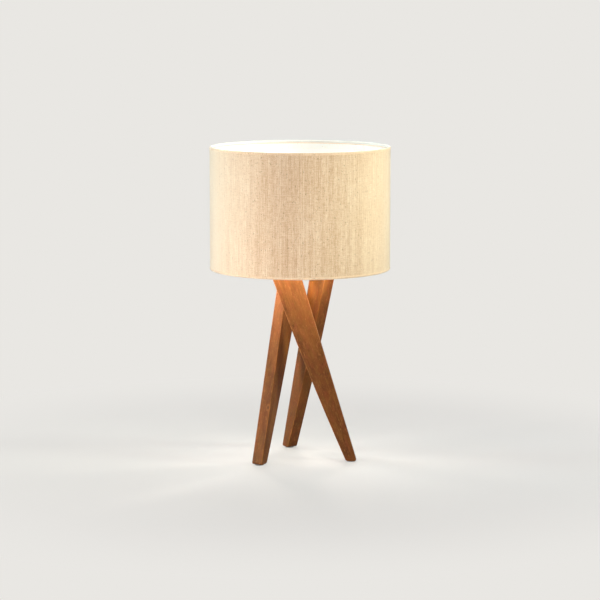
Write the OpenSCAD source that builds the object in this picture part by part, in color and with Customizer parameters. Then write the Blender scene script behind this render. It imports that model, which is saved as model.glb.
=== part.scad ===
// Tripod table lamp: three flat wooden planks whirl round a wooden block and carry a drum shade.
// Millimetres. The origin is on the floor under the shade's axis, and +Z is up.
// Each plank is drawn in its own frame: X is the distance out from the axis, Y runs along the
// plank's broad face, and Z is the height. place_legs and place_leg turn that frame into place.

/* [Shade] */
// Outside diameter of the drum shade
shade_d = 300; // [200:5:450]
// Height of the shade over its rolled hems
shade_h = 204; // [120:2:320]
// Height of the shade's lower edge above the floor
shade_bottom_z = 320; // [240:5:420]
// Thickness of the outer fabric
fabric_t = 0.5; // [0.3:0.1:1]
// Thickness of the stiff white lining
liner_t = 0.6; // [0.3:0.1:1.5]
// Diameter of the two wire rings in the hems
ring_wire_d = 3; // [2:0.5:5]
// Thickness of the fabric rolled round a wire ring
hem_t = 1; // [0.5:0.1:2]
// Height of the hem's glued flap inside the shade
hem_flap_h = 12; // [6:1:25]

/* [Shade fitting] */
// Outside diameter of the fitting's centre ring
centre_ring_d = 58; // [48:1:80]
// Hole of the centre ring, which drops over the lampholder
centre_ring_hole_d = 42; // [40:0.5:46]
// Thickness of the centre ring
centre_ring_t = 2; // [1:0.5:4]
// Diameter of the three fitting arms
arm_d = 4; // [2:0.5:6]
// Direction of the first arm, in degrees from +X
arm_turn = 60; // [0:5:115]

/* [Legs] */
// Thickness of each plank
leg_t = 19; // [12:1:30]
// Distance from the axis to the middle of each plank's thickness
leg_offset = 30; // [24:1:45]
// How far along its plane each foot stands from the axis
leg_foot_y = 85.5; // [60:0.5:120]
// Lean of each plank from upright, in degrees
leg_lean = 19.1; // [8:0.1:28]
// Width of a plank at the floor, across its length
leg_foot_w = 17; // [12:1:30]
// Width of a plank at its top, across its length
leg_top_w = 47; // [30:1:60]
// How far the outer edge swells past a straight line
leg_belly = 3.6; // [0.5:0.1:8]
// Height at which the planks are cut level
leg_top_z = 342; // [280:1:440]
// Corner radius at the foot of each plank
foot_round_r = 4; // [1:0.5:6]
// Direction the front plank's outer face looks, in degrees from +X
leg_turn = -89; // [-100:1:-80]
// Thickness of the felt pads
pad_t = 1.5; // [1:0.5:4]
// Diameter of the felt pads
pad_d = 15; // [10:1:16]

/* [Centre block] */
// Height of the triangular block between the planks
block_h = 30; // [20:1:50]
// Distance from the axis to the block's clipped corners
block_corner_r = 32; // [27:1:40]
// Diameter of the leg screws' shanks
screw_d = 4; // [3:0.5:5]
// Diameter of the leg screws' heads
screw_head_d = 7.6; // [6:0.2:9]
// Length of the leg screws
screw_l = 33; // [25:1:38]

/* [Threaded tube] */
// Outside diameter of the threaded tube
tube_d = 10; // [8:1:13]
// Bore of the threaded tube
tube_bore_d = 8; // [5:0.5:9]
// Bore of the plastic cord bush at its lower end
inlet_d = 6.4; // [5:0.1:7]
// Length of the cord bush
bush_l = 12; // [8:1:20]

/* [Lampholder] */
// Largest outside diameter of the lampholder
holder_d = 43; // [40:1:50]
// Outside diameter of the thread that the shade rings run on
skirt_thread_d = 39.5; // [38:0.5:40]
// Pitch of that thread
skirt_pitch = 2.5; // [1.5:0.5:4]
// Outside diameter of the seat ring and the clamp ring
shade_ring_d = 57; // [50:1:64]
// Inside diameter of the screw shell
shell_bore_d = 27; // [26.8:0.1:28]

/* [Bulb] */
// Widest diameter of the glass
bulb_d = 60; // [45:1:70]
// Length of the bulb from the contact tip to the top
bulb_l = 107; // [90:1:130]
// Outside diameter of the bulb's screw cap
bulb_cap_d = 26.3; // [26:0.1:26.5]
// Pitch of the screw cap's thread
bulb_pitch = 3.629; // [3.6:0.001:3.7]
// Thickness of the glass
bulb_glass_t = 0.8; // [0.5:0.1:1.5]

/* [Hidden] */
$fn = 96;
gap = 0.1;
leg_count = 3;
leg_step = 360 / leg_count;
shade_r = shade_d / 2;
shade_top_z = shade_bottom_z + shade_h;

// Rolled hems: a fabric tube round each wire ring, and a flap glued inside the lining.
hem_r = ring_wire_d / 2 + hem_t;
hem_ring_r = shade_r - hem_r;
hem_top_z = shade_top_z - hem_r;
hem_bottom_z = shade_bottom_z + hem_r;
liner_outer_r = shade_r - fabric_t - gap;
liner_inner_r = liner_outer_r - liner_t;
hem_flap_r = liner_inner_r - gap;

// The outer fabric and the lining stop just short of the rolled hems.
fabric_stop = 1.7;
liner_stop = 2.3;
wall_bottom_z = hem_bottom_z + fabric_stop;
wall_top_z = hem_top_z - fabric_stop;
liner_bottom_z = hem_bottom_z + liner_stop;
liner_top_z = hem_top_z - liner_stop;

// Plank outline.
leg_inner_x = leg_offset - leg_t / 2;
leg_outer_x = leg_offset + leg_t / 2;
leg_width_z = 340;
leg_angles = [leg_turn, leg_turn - leg_step, leg_turn + leg_step];
pad_y = leg_foot_y - tan(leg_lean) * pad_t;

// Centre block and its screws.
block_top_z = leg_top_z;
block_bottom_z = block_top_z - block_h;
tube_hole_r = tube_d / 2 + 0.25;
screw_yz = [[-13, block_bottom_z + 7], [-15.5, block_bottom_z + 22]];
screw_head_h = 2.4;
screw_point_h = 5;
screw_play = 0.15;
recess_w = 0.9;
recess_l = 4.2;
recess_h = 1.4;

// Threaded tube, its nuts and washers, and the cord bush, from the floor upwards.
washer_d = 22;
washer_t = 1.5;
nut_af = 14;
nut_h = 4;
tube_bottom_z = block_bottom_z - 8;
tube_top_z = block_top_z + 14;
lower_washer_z = block_bottom_z - washer_t;
lower_nut_z = lower_washer_z - nut_h;
upper_nut_z = block_top_z + washer_t;
bush_flange_d = 13;
bush_flange_t = 2;
bush_z = tube_bottom_z - bush_flange_t;
bush_body_d = tube_bore_d - 2 * gap;

// Lampholder heights.
cap_z = upper_nut_z + nut_h + 1.5;
cap_h = 18;
cap_top_z = cap_z + cap_h;
cap_neck_r = 9;
cap_neck_h = 4;
cap_shoulder_h = 11;
cap_wall = 2;
holder_r = holder_d / 2;
insert_z = cap_z + 13;
insert_h = 10;
insert_top_z = insert_z + insert_h;
insert_r = 17;
skirt_z = insert_z;
skirt_join_r = holder_r - cap_wall - 0.3;
skirt_collar_h = 4.8;
skirt_top_z = insert_top_z + 32;
skirt_bore_r = 16.2;
skirt_seat_r = insert_r + 0.3;
skirt_ridge_h = 0.8;
skirt_ridge_r = skirt_thread_d / 2;
skirt_core_r = skirt_ridge_r - skirt_ridge_h;
skirt_thread_z = cap_top_z + skirt_collar_h + 2;
skirt_ridge_count = 11;
shell_bore_r = shell_bore_d / 2;
shell_wall = 0.5;
shell_z = insert_top_z + gap;
shell_h = 23;
grub_d = 3;
grub_z = cap_z + 2.2;

// Brass terminals and the sprung centre contact.
terminal_x = 10;
terminal_l = 8;
terminal_w = 6;
terminal_h = 6;
terminal_screw_d = 3;
terminal_screw_h = 2;
pocket_play = 0.5;
contact_w = 5;
contact_t = 0.5;
contact_foot_l = 4;
contact_half_l = 9;
contact_rise = 1.6;
contact_tip_l = 2.5;

// Seat ring, centre ring and clamp ring, stacked on the skirt's thread.
ring_bore_r = skirt_ridge_r + 0.35;
ring_flange_t = 2;
seat_ring_z = skirt_thread_z + 6;
seat_collar_h = 6;
seat_top_z = seat_ring_z + seat_collar_h + ring_flange_t;
ring_collar_r = 23;
centre_ring_z = seat_top_z;
clamp_ring_z = centre_ring_z + centre_ring_t + gap;
clamp_collar_h = 9;
grip_count = 24;
grip_r = 1.1;

// Fitting arms: from the lower wire ring up to the centre ring.
arm_in_r = centre_ring_d / 2 + 1.35;
arm_in_z = centre_ring_z - 0.3;
arm_run = hem_ring_r - arm_in_r;
arm_rise = arm_in_z - hem_bottom_z;
arm_angle = atan2(arm_run, arm_rise);
arm_start = ring_wire_d / 2 + gap;
arm_l = sqrt(arm_run * arm_run + arm_rise * arm_rise) - arm_start;
arm_slit_d = arm_d + 0.6;
arm_slit_l = 6;

// Bulb heights, from the contact tip upwards.
bulb_z = insert_top_z + contact_rise + 2 * gap;
tip_r = 4.6;
tip_h = 1.6;
insulator_z = bulb_z + tip_h + gap;
insulator_h = 4;
insulator_top_r = 9.5;
cap_shell_z = insulator_z + insulator_h + gap;
cap_cone_h = 1.8;
cap_shell_h = 21;
cap_shell_top_z = cap_shell_z + cap_shell_h;
cap_shell_t = 0.4;
cap_major_r = bulb_cap_d / 2;
cap_minor_r = cap_major_r - 1;
cap_ridge_count = 4;
cap_ridge_z = cap_shell_z + cap_cone_h + 0.4;
neck_z = cap_shell_top_z - 4;
neck_r = cap_minor_r - cap_shell_t - 0.2;
throat_z = cap_shell_top_z + 0.4;
throat_r = 13.2;
bulb_r = bulb_d / 2;
bulb_top_z = bulb_z + bulb_l;
globe_z = bulb_top_z - bulb_r;
glass_steps = 16;
dome_steps = 14;
stem_flare_r = 9;
stem_r = 3.2;
stem_flare_h = 12;
stem_h = 36;
stem_top_z = neck_z + stem_h;
filament_count = 4;
filament_d = 1.8;
filament_l = 34;
filament_z = stem_top_z - 6;
filament_r = 11;
filament_tilt = 9;
lead_d = 0.7;
lead_in_r = stem_r + 0.2;

// Helpers.

function leg_middle_y(z) = leg_foot_y - tan(leg_lean) * z;
function leg_half_w(z) =
    (leg_foot_w + (leg_top_w - leg_foot_w) * z / leg_width_z) / cos(leg_lean) / 2;
function leg_plus_y(z) = leg_middle_y(z) + leg_half_w(z);
function leg_minus_y(z) = leg_middle_y(z) - leg_half_w(z);
function unit(v) = v / norm(v);

module place_leg(index) {
    rotate([0, 0, leg_angles[index]])
        children();
}

module place_legs() {
    for (index = [0 : leg_count - 1])
        place_leg(index)
            children();
}

module place_arms() {
    for (index = [0 : leg_count - 1])
        rotate([0, 0, arm_turn + index * leg_step])
            children();
}

// A flat drawing in (Y, Z) of the plank's frame, made thickness thick from x outwards.
module upright_sheet(x, thickness) {
    translate([x, 0, 0])
        rotate([90, 0, 90])
            linear_extrude(height = thickness)
                children();
}

module tube(outer_r, inner_r, z, h) {
    translate([0, 0, z])
        difference() {
            cylinder(r = outer_r, h = h);
            translate([0, 0, -1])
                cylinder(r = inner_r, h = h + 2);
        }
}

module wire_ring(z) {
    translate([0, 0, z])
        rotate_extrude()
            translate([hem_ring_r, 0])
                circle(r = ring_wire_d / 2, $fn = 32);
}

// Legs.

// The swelling outer edge is one arc through the plank's lower and upper outer corners.
module belly_arc() {
    low = [leg_minus_y(0), 0];
    high = [leg_minus_y(leg_top_z), leg_top_z];
    chord = norm(high - low);
    arc_r = chord * chord / (8 * leg_belly) + leg_belly / 2;
    along = unit(high - low);
    inward = [along[1], -along[0]];
    centre = (low + high) / 2 + inward * (arc_r - leg_belly);
    translate(centre)
        circle(r = arc_r, $fn = 1440);
}

// The circle that rounds a foot corner between the level sole and an edge going up along edge_dir.
function corner_centre(corner, sole_dir, edge_dir) =
    let (half = acos(sole_dir * edge_dir) / 2)
    corner + unit(sole_dir + edge_dir) * foot_round_r / sin(half);
function corner_reach(sole_dir, edge_dir) =
    foot_round_r / tan(acos(sole_dir * edge_dir) / 2);

module plank_outline() {
    low_z = pad_t;
    inner_low = [leg_plus_y(low_z), low_z];
    inner_high = [leg_plus_y(leg_top_z), leg_top_z];
    inner_edge = unit(inner_high - inner_low);
    reach = corner_reach([-1, 0], inner_edge);
    spare = 2 * leg_belly;
    intersection() {
        union() {
            polygon([
                inner_low - [reach, 0],
                inner_low + inner_edge * reach,
                inner_high,
                [leg_minus_y(leg_top_z) - spare, leg_top_z],
                [leg_minus_y(low_z) - spare, low_z]
            ]);
            translate(corner_centre(inner_low, [-1, 0], inner_edge))
                circle(r = foot_round_r, $fn = 48);
        }
        belly_arc();
    }
}

module screw_seats() {
    for (at = screw_yz)
        translate([leg_outer_x, at[0], at[1]])
            rotate([0, -90, 0]) {
                translate([0, 0, -1])
                    cylinder(d = screw_head_d + 2 * screw_play, h = 1 + screw_play);
                translate([0, 0, screw_play])
                    cylinder(
                        d1 = screw_head_d + 2 * screw_play,
                        d2 = screw_d + 2 * screw_play,
                        h = screw_head_h
                    );
                cylinder(d = screw_d + 2 * screw_play, h = screw_l + 1);
            }
}

module plank(index) {
    color("peru")
        place_leg(index)
            difference() {
                upright_sheet(leg_inner_x, leg_t)
                    plank_outline();
                screw_seats();
            }
}

module leg_front() {
    plank(0);
}

module leg_left() {
    plank(1);
}

module leg_rear() {
    plank(2);
}

module wood_screw() {
    shank_l = screw_l - screw_head_h - screw_point_h;
    difference() {
        union() {
            cylinder(d1 = screw_head_d, d2 = screw_d, h = screw_head_h);
            translate([0, 0, screw_head_h])
                cylinder(d = screw_d, h = shank_l);
            translate([0, 0, screw_head_h + shank_l])
                cylinder(d1 = screw_d, d2 = 0.6, h = screw_point_h);
        }
        for (turn = [0, 90])
            rotate([0, 0, turn])
                translate([-recess_l / 2, -recess_w / 2, -1])
                    cube([recess_l, recess_w, recess_h + 1]);
    }
}

module leg_screws() {
    color("silver")
        place_legs()
            for (at = screw_yz)
                translate([leg_outer_x - screw_play, at[0], at[1]])
                    rotate([0, -90, 0])
                        wood_screw();
}

module foot_pads() {
    color("dimgray")
        place_legs()
            translate([leg_offset, pad_y, 0])
                cylinder(d = pad_d, h = pad_t);
}

// Centre block: a triangle against the planks' inner faces, with its three corners clipped.
module centre_block() {
    color("burlywood")
        difference() {
            translate([0, 0, block_bottom_z])
                linear_extrude(height = block_h)
                    intersection() {
                        rotate([0, 0, leg_turn + 60])
                            circle(r = 2 * leg_inner_x, $fn = 3);
                        rotate([0, 0, leg_turn])
                            circle(r = 2 * block_corner_r, $fn = 3);
                    }
            translate([0, 0, block_bottom_z - 1])
                cylinder(r = tube_hole_r, h = block_h + 2);
            place_legs()
                screw_seats();
        }
}

// Threaded tube and what runs on it.

module threaded_tube() {
    color("goldenrod")
        tube(tube_d / 2, tube_bore_d / 2, tube_bottom_z, tube_top_z - tube_bottom_z);
}

module tube_nuts() {
    color("silver")
        for (z = [lower_nut_z, upper_nut_z])
            translate([0, 0, z])
                difference() {
                    cylinder(d = nut_af / cos(30), h = nut_h, $fn = 6);
                    translate([0, 0, -1])
                        cylinder(r = tube_d / 2 + gap, h = nut_h + 2);
                }
}

module tube_washers() {
    color("silver")
        for (z = [lower_washer_z, block_top_z])
            tube(washer_d / 2, tube_d / 2 + 0.3, z, washer_t);
}

module cord_bush() {
    color("black")
        difference() {
            union() {
                translate([0, 0, bush_z])
                    cylinder(d = bush_flange_d, h = bush_flange_t);
                translate([0, 0, bush_z + bush_flange_t / 2])
                    cylinder(d = bush_body_d, h = bush_l - bush_flange_t / 2);
            }
            translate([0, 0, bush_z - 1])
                cylinder(d = inlet_d, h = bush_l + 2);
        }
}

// Lampholder.

module holder_cap() {
    inner_r = holder_r - cap_wall;
    shoulder_z = cap_z + cap_shoulder_h;
    color("dimgray")
        difference() {
            rotate_extrude()
                polygon([
                    [tube_d / 2 + gap, cap_z],
                    [cap_neck_r, cap_z],
                    [cap_neck_r, cap_z + cap_neck_h],
                    [holder_r, shoulder_z],
                    [holder_r, cap_top_z],
                    [inner_r, cap_top_z],
                    [inner_r, shoulder_z + 1],
                    [cap_neck_r, cap_z + cap_neck_h + 2.5],
                    [tube_d / 2 + gap, cap_z + cap_neck_h + 2.5]
                ]);
            translate([0, 0, grub_z])
                rotate([0, 90, 0])
                    cylinder(d = grub_d + 2 * gap, h = holder_r, $fn = 32);
        }
}

module holder_grub_screw() {
    socket_d = 1.6;
    grub_l = cap_neck_r - tube_d / 2 - 2 * gap;
    color("silver")
        translate([tube_d / 2 + gap, 0, grub_z])
            rotate([0, 90, 0])
                difference() {
                    cylinder(d = grub_d, h = grub_l, $fn = 32);
                    translate([0, 0, grub_l - 1.5])
                        cylinder(d = socket_d, h = 2, $fn = 6);
                }
}

module terminal_pocket() {
    translate([
        terminal_x - terminal_l / 2 - pocket_play,
        -terminal_w / 2 - pocket_play,
        insert_z - 1
    ])
        cube([
            terminal_l + 2 * pocket_play,
            terminal_w + 2 * pocket_play,
            terminal_h + pocket_play + 1
        ]);
}

module holder_insert() {
    color("whitesmoke")
        difference() {
            translate([0, 0, insert_z])
                cylinder(r = insert_r, h = insert_h);
            for (turn = [0, 180])
                rotate([0, 0, turn])
                    terminal_pocket();
        }
}

module holder_terminals() {
    color("gold")
        for (turn = [0, 180])
            rotate([0, 0, turn])
                difference() {
                    union() {
                        translate([
                            terminal_x - terminal_l / 2,
                            -terminal_w / 2,
                            insert_z + 0.5
                        ])
                            cube([terminal_l, terminal_w, terminal_h - 0.5]);
                        translate([terminal_x, 0, insert_z + 0.5 - terminal_screw_h])
                            cylinder(
                                d = terminal_screw_d,
                                h = terminal_screw_h + 1,
                                $fn = 32
                            );
                    }
                    translate([terminal_x - recess_w / 2, -terminal_w / 2, insert_z - 3])
                        cube([recess_w, terminal_w, 2]);
                }
}

// A bent strip: a foot each side, two ramps and a flat crown under the bulb's contact.
module holder_contact() {
    base = insert_top_z + gap;
    foot_y = contact_half_l - contact_foot_l;
    crown = base + contact_rise;
    color("gold")
        translate([-contact_w / 2, 0, 0])
            upright_sheet(0, contact_w)
                polygon([
                    [-contact_half_l, base],
                    [-foot_y, base],
                    [-contact_tip_l, crown - contact_t],
                    [contact_tip_l, crown - contact_t],
                    [foot_y, base],
                    [contact_half_l, base],
                    [contact_half_l, base + contact_t],
                    [foot_y, base + contact_t],
                    [contact_tip_l, crown],
                    [-contact_tip_l, crown],
                    [-foot_y, base + contact_t],
                    [-contact_half_l, base + contact_t]
                ]);
}

module holder_shell() {
    color("silver")
        tube(shell_bore_r + shell_wall, shell_bore_r, shell_z, shell_h);
}

// One thread ridge as four outline points, used for the skirt and for the bulb's cap.
function ridge(core_r, crest_r, z, pitch) = [
    [core_r, z],
    [crest_r, z + pitch * 0.3],
    [crest_r, z + pitch * 0.5],
    [core_r, z + pitch * 0.8]
];

module holder_skirt() {
    ridges = [
        for (index = [0 : skirt_ridge_count - 1])
            each ridge(
                skirt_core_r,
                skirt_ridge_r,
                skirt_thread_z + index * skirt_pitch,
                skirt_pitch
            )
    ];
    color("dimgray")
        rotate_extrude()
            polygon(concat(
                [
                    [skirt_seat_r, skirt_z],
                    [skirt_join_r, skirt_z],
                    [skirt_join_r, cap_top_z + gap],
                    [holder_r, cap_top_z + gap],
                    [holder_r, cap_top_z + skirt_collar_h],
                    [skirt_core_r, cap_top_z + skirt_collar_h]
                ],
                ridges,
                [
                    [skirt_core_r, skirt_top_z],
                    [skirt_bore_r, skirt_top_z],
                    [skirt_bore_r, insert_top_z + gap],
                    [skirt_seat_r, insert_top_z + gap]
                ]
            ));
}

// Shade rings.

module grip_notches(z, h) {
    for (index = [0 : grip_count - 1])
        rotate([0, 0, index * 360 / grip_count])
            translate([ring_collar_r + grip_r / 2, 0, z])
                cylinder(r = grip_r, h = h, $fn = 24);
}

module shade_seat_ring() {
    color("dimgray")
        difference() {
            union() {
                tube(ring_collar_r, ring_bore_r, seat_ring_z, seat_collar_h + ring_flange_t);
                tube(
                    shade_ring_d / 2,
                    ring_bore_r,
                    seat_top_z - ring_flange_t,
                    ring_flange_t - gap
                );
            }
            grip_notches(seat_ring_z - 1, seat_collar_h + 1);
        }
}

module shade_clamp_ring() {
    color("dimgray")
        difference() {
            union() {
                tube(ring_collar_r, ring_bore_r, clamp_ring_z, clamp_collar_h + ring_flange_t);
                tube(shade_ring_d / 2, ring_bore_r, clamp_ring_z, ring_flange_t);
            }
            grip_notches(clamp_ring_z + ring_flange_t, clamp_collar_h + 1);
        }
}

// Shade.

module shade_fabric() {
    color("wheat")
        tube(shade_r, shade_r - fabric_t, wall_bottom_z, wall_top_z - wall_bottom_z);
}

module shade_liner() {
    color("white")
        tube(liner_outer_r, liner_inner_r, liner_bottom_z, liner_top_z - liner_bottom_z);
}

// A hem's flap starts inside the rolled tube and runs towards the shade's middle.
module rolled_hem(z, flap_z) {
    rotate_extrude()
        difference() {
            union() {
                translate([hem_ring_r, z])
                    circle(r = hem_r, $fn = 48);
                translate([hem_flap_r - fabric_t, flap_z])
                    square([fabric_t, hem_flap_h]);
            }
            translate([hem_ring_r, z])
                circle(r = ring_wire_d / 2 + gap, $fn = 48);
        }
}

module shade_hem_top() {
    color("linen")
        rolled_hem(hem_top_z, hem_top_z - hem_r - hem_flap_h + 1);
}

module shade_hem_bottom() {
    color("linen")
        difference() {
            rolled_hem(hem_bottom_z, hem_bottom_z + hem_r - 1);
            place_arms()
                translate([hem_ring_r, 0, hem_bottom_z])
                    rotate([0, -arm_angle, 0])
                        cylinder(d = arm_slit_d, h = arm_slit_l, $fn = 32);
        }
}

module shade_wire_top() {
    color("white")
        wire_ring(hem_top_z);
}

module shade_wire_bottom() {
    color("white")
        wire_ring(hem_bottom_z);
}

module shade_centre_ring() {
    color("white")
        tube(centre_ring_d / 2, centre_ring_hole_d / 2, centre_ring_z, centre_ring_t);
}

module shade_arms() {
    color("white")
        place_arms()
            translate([hem_ring_r, 0, hem_bottom_z])
                rotate([0, -arm_angle, 0])
                    translate([0, 0, arm_start])
                        cylinder(d = arm_d, h = arm_l, $fn = 32);
}

// Bulb.

module bulb_tip() {
    color("silver")
        rotate_extrude()
            polygon([
                [0, bulb_z],
                [tip_r - 1.4, bulb_z],
                [tip_r, bulb_z + tip_h / 2],
                [tip_r, bulb_z + tip_h],
                [0, bulb_z + tip_h]
            ]);
}

module bulb_insulator() {
    color("black")
        translate([0, 0, insulator_z])
            cylinder(r1 = tip_r + 0.6, r2 = insulator_top_r, h = insulator_h);
}

module bulb_screw_cap() {
    ridges = [
        for (index = [0 : cap_ridge_count - 1])
            each ridge(
                cap_minor_r,
                cap_major_r,
                cap_ridge_z + index * bulb_pitch,
                bulb_pitch
            )
    ];
    color("silver")
        rotate_extrude()
            polygon(concat(
                [
                    [insulator_top_r - 0.4, cap_shell_z],
                    [insulator_top_r, cap_shell_z],
                    [cap_minor_r, cap_shell_z + cap_cone_h]
                ],
                ridges,
                [
                    [cap_minor_r, cap_shell_top_z - 4],
                    [cap_major_r, cap_shell_top_z - 3],
                    [cap_major_r, cap_shell_top_z],
                    [cap_minor_r - cap_shell_t, cap_shell_top_z],
                    [cap_minor_r - cap_shell_t, cap_shell_z + cap_cone_h + 0.3]
                ]
            ));
}

// Outline of the glass from the throat to the globe's widest point, then over the dome.
function glass_side(inset) = [
    for (index = [0 : glass_steps])
        let (share = index / glass_steps)
        [
            throat_r - inset + (bulb_r - throat_r) * (1 - cos(180 * share)) / 2,
            throat_z + (globe_z - throat_z) * share
        ]
];
function glass_dome(inset) = [
    for (index = [1 : dome_steps])
        let (turn = 90 * index / dome_steps)
        [(bulb_r - inset) * cos(turn), globe_z + (bulb_r - inset) * sin(turn)]
];
function glass_line(inset) =
    concat([[neck_r - inset, neck_z], [neck_r - inset, throat_z - 0.3]],
        glass_side(inset), glass_dome(inset));
function reversed(points) = [
    for (index = [len(points) - 1 : -1 : 0])
        points[index]
];

module bulb_glass() {
    color("lightcyan", 0.5)
        rotate_extrude()
            polygon(concat(glass_line(0), reversed(glass_line(bulb_glass_t))));
}

module bulb_stem() {
    color("lightcyan", 0.5)
        rotate_extrude()
            polygon([
                [0, neck_z + 1],
                [stem_flare_r, neck_z + 1],
                [stem_flare_r, neck_z + 2],
                [stem_r, neck_z + stem_flare_h],
                [stem_r, stem_top_z - 1],
                [stem_r - 1, stem_top_z],
                [0, stem_top_z]
            ]);
}

module place_filaments() {
    for (index = [0 : filament_count - 1])
        rotate([0, 0, index * 360 / filament_count])
            children();
}

module bulb_filaments() {
    color("orange")
        place_filaments()
            translate([filament_r, 0, filament_z])
                rotate([0, -filament_tilt, 0])
                    cylinder(d = filament_d, h = filament_l, $fn = 24);
}

// A short lead from the stem to the foot of each filament.
module bulb_leads() {
    color("silver")
        place_filaments()
            translate([lead_in_r, 0, filament_z - lead_d])
                rotate([0, 90, 0])
                    cylinder(d = lead_d, h = filament_r + filament_d / 2 - lead_in_r, $fn = 24);
}

leg_front();
leg_left();
leg_rear();
leg_screws();
foot_pads();
centre_block();
threaded_tube();
tube_nuts();
tube_washers();
cord_bush();
holder_cap();
holder_grub_screw();
holder_insert();
holder_terminals();
holder_contact();
holder_shell();
holder_skirt();
shade_seat_ring();
shade_clamp_ring();
shade_fabric();
shade_liner();
shade_hem_top();
shade_hem_bottom();
shade_wire_top();
shade_wire_bottom();
shade_centre_ring();
shade_arms();
bulb_tip();
bulb_insulator();
bulb_screw_cap();
bulb_glass();
bulb_stem();
bulb_filaments();
bulb_leads();
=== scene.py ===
"""Looks of the tripod table lamp: a woven drum shade on three flat planks that whirl round a block.

The pieces are built in metres, over the CAD solids. The values under "sizes" are in millimetres
and degrees, and have the names of the CAD source, where a few of the radii are diameters.
"""

from math import ceil, cos, degrees, dist, pi, radians, sin, sqrt, tan

import bmesh
import bpy
from mathutils import Matrix, Vector, noise
from mathutils.geometry import tessellate_polygon


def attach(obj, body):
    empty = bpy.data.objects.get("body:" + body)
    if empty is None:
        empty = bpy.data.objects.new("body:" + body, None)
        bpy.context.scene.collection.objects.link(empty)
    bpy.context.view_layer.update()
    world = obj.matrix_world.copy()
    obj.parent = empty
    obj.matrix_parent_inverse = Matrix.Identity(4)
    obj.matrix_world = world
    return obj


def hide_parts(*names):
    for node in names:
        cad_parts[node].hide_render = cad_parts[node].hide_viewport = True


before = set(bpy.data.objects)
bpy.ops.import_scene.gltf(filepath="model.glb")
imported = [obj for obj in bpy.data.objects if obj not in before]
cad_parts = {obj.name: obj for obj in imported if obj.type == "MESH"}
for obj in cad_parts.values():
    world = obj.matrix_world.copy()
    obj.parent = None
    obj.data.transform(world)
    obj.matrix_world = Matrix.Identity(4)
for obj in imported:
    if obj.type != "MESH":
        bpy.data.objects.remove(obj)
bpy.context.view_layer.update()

MM = 0.001
TAU = 2 * pi


def add_object(name, data):
    """A new object in the scene that holds the given mesh, light or camera."""
    obj = bpy.data.objects.new(name, data)
    bpy.context.scene.collection.objects.link(obj)
    return obj


# ---- camera

# A fit to the shade's ellipses and the legs' edges in the photograph, in metres and degrees.
CAMERA_BACK = 3.850
CAMERA_HEIGHT = 0.8067
CAMERA_PITCH = 7.975
# Pixels of the photograph.
CAMERA_FOCAL_PX = 2331.0
FRAME_PX = 600
SENSOR_MM = 36.0


def make_camera():
    """The photograph's camera."""
    data = bpy.data.cameras.new("photo_camera")
    data.sensor_width = SENSOR_MM
    data.lens = CAMERA_FOCAL_PX / FRAME_PX * SENSOR_MM
    data.clip_start = 0.05
    data.clip_end = 200
    camera = add_object("photo_camera", data)
    camera.location = (0, -CAMERA_BACK, CAMERA_HEIGHT)
    camera.rotation_euler = (radians(90 - CAMERA_PITCH), 0, 0)
    bpy.context.scene.camera = camera


make_camera()

# ---- sizes

gap = 0.1

# Shade, with its rolled hems and its lining.
shade_r = 150.0
shade_bottom_z = 320.0
shade_top_z = 524.0
liner_outer_r = 149.4
liner_inner_r = 148.8
hem_r = 2.5
hem_ring_r = shade_r - hem_r
hem_bottom_z = shade_bottom_z + hem_r
hem_top_z = shade_top_z - hem_r
hem_flap_h = 12.0
hem_flap_r = liner_inner_r - gap
fabric_stop = 1.7
liner_stop = 2.3
wall_bottom_z = hem_bottom_z + fabric_stop
wall_top_z = hem_top_z - fabric_stop
liner_bottom_z = hem_bottom_z + liner_stop
liner_top_z = hem_top_z - liner_stop

# Legs, and the block between them.
leg_t = 19.0
leg_offset = 30.0
leg_foot_y = 85.5
leg_lean = 19.1
leg_foot_w = 17.0
leg_top_w = 47.0
leg_belly = 3.6
leg_top_z = 342.0
leg_width_z = 340.0
leg_angles = (-89.0, 151.0, 31.0)
pad_t = 1.5
screw_d = 4.0
screw_head_d = 7.6
screw_head_h = 2.4
screw_play = 0.15
block_bottom_z = 312.0
screw_yz = ((-13.0, block_bottom_z + 7), (-15.5, block_bottom_z + 22))

# Threaded tube and lampholder.
tube_r = 5.0
tube_bore_r = 4.0
tube_bottom_z = block_bottom_z - 8
tube_top_z = leg_top_z + 14
holder_r = 21.5
cap_z = 349.0
cap_top_z = 367.0
cap_neck_r = 9.0
cap_neck_h = 4.0
cap_shoulder_h = 11.0
cap_wall = 2.0
insert_top_z = 372.0
skirt_z = 362.0
skirt_top_z = 404.0
skirt_seat_r = 17.3
skirt_join_r = holder_r - cap_wall - 0.3
skirt_collar_h = 4.8
skirt_bore_r = 16.2
skirt_ridge_r = 19.75
skirt_core_r = 18.95
skirt_pitch = 2.5
skirt_thread_z = 373.8
shell_bore_r = 13.5
shell_wall = 0.5
shell_z = insert_top_z + gap
shell_h = 23.0

# Seat ring, the shade's centre ring with its arms, and clamp ring.
shade_ring_r = 28.5
ring_bore_r = skirt_ridge_r + 0.35
ring_flange_t = 2.0
ring_collar_r = 23.0
grip_count = 24
seat_ring_z = skirt_thread_z + 6
seat_collar_h = 6.0
seat_top_z = seat_ring_z + seat_collar_h + ring_flange_t
centre_ring_r = 29.0
centre_ring_hole_r = 21.0
centre_ring_t = 2.0
centre_ring_z = seat_top_z
clamp_ring_z = centre_ring_z + centre_ring_t + gap
clamp_collar_h = 9.0
arm_turn = 60.0

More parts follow.
